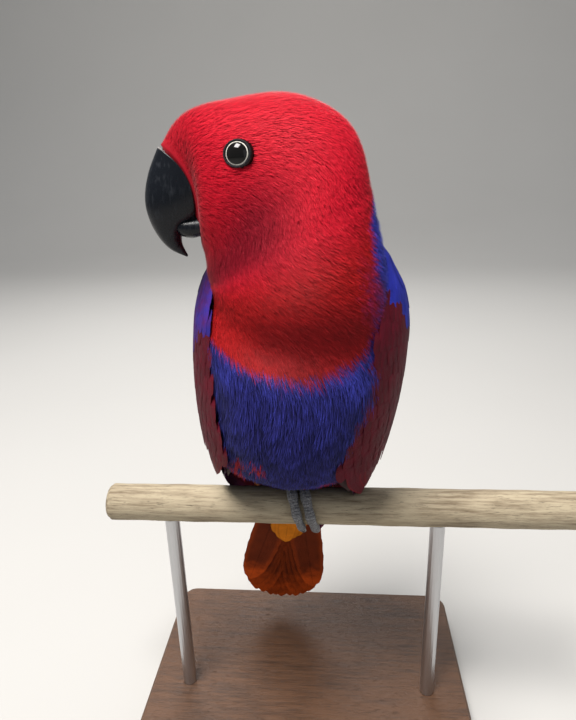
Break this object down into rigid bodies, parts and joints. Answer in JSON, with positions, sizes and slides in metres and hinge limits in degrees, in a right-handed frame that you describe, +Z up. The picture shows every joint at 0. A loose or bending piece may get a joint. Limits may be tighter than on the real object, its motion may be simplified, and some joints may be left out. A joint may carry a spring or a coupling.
{
  "type": "parrot figure on a perch",
  "caption": "Life-size still model of an eclectus parrot hen on a cut wooden perch, head turned to its right, one foot drawn up, on a plain display stand.",
  "frame": {"origin": "centre of the standing foot's place on the perch, dropped to the underside of the stand's base", "axes": "+Z up, -Y the way the bird's breast faces, +X the bird's left, along the perch"},
  "size_m": [0.255, 0.15, 0.3414],
  "materials": {
    "red_plumage": "soft red feathers",
    "violet_plumage": "soft violet-blue feathers",
    "wing_plumage": "smooth maroon feathers",
    "tail_plumage": "red-brown feathers with orange tips",
    "bill": "polished blue-black horn",
    "eye": "wet, dark pupil in a pale ring",
    "foot_skin": "dry grey scales",
    "claw": "dark horn",
    "perch_wood": "weathered round dowel",
    "base_wood": "dark stained board",
    "rod_steel": "brushed"
  },
  "bodies": {
    "root": {"head": "red_plumage", "neck": "red_plumage", "torso": "violet_plumage", "bill_upper": "bill", "bill_lower": "bill", "tail": "tail_plumage", "perch": "perch_wood", "stand_base": "base_wood", "stand_rod_left": "rod_steel", "stand_rod_right": "rod_steel", "eye_left": "eye", "wing_left": "wing_plumage", "leg_left": "violet_plumage", "foot_left": "foot_skin", "claw_left_inner_front": "claw", "claw_left_outer_front": "claw", "claw_left_inner_back": "claw", "claw_left_outer_back": "claw", "eye_right": "eye", "wing_right": "wing_plumage", "leg_right": "violet_plumage", "foot_right": "foot_skin", "claw_right_inner_front": "claw", "claw_right_outer_front": "claw", "claw_right_inner_back": "claw", "claw_right_outer_back": "claw"}
  },
  "joints": []
}
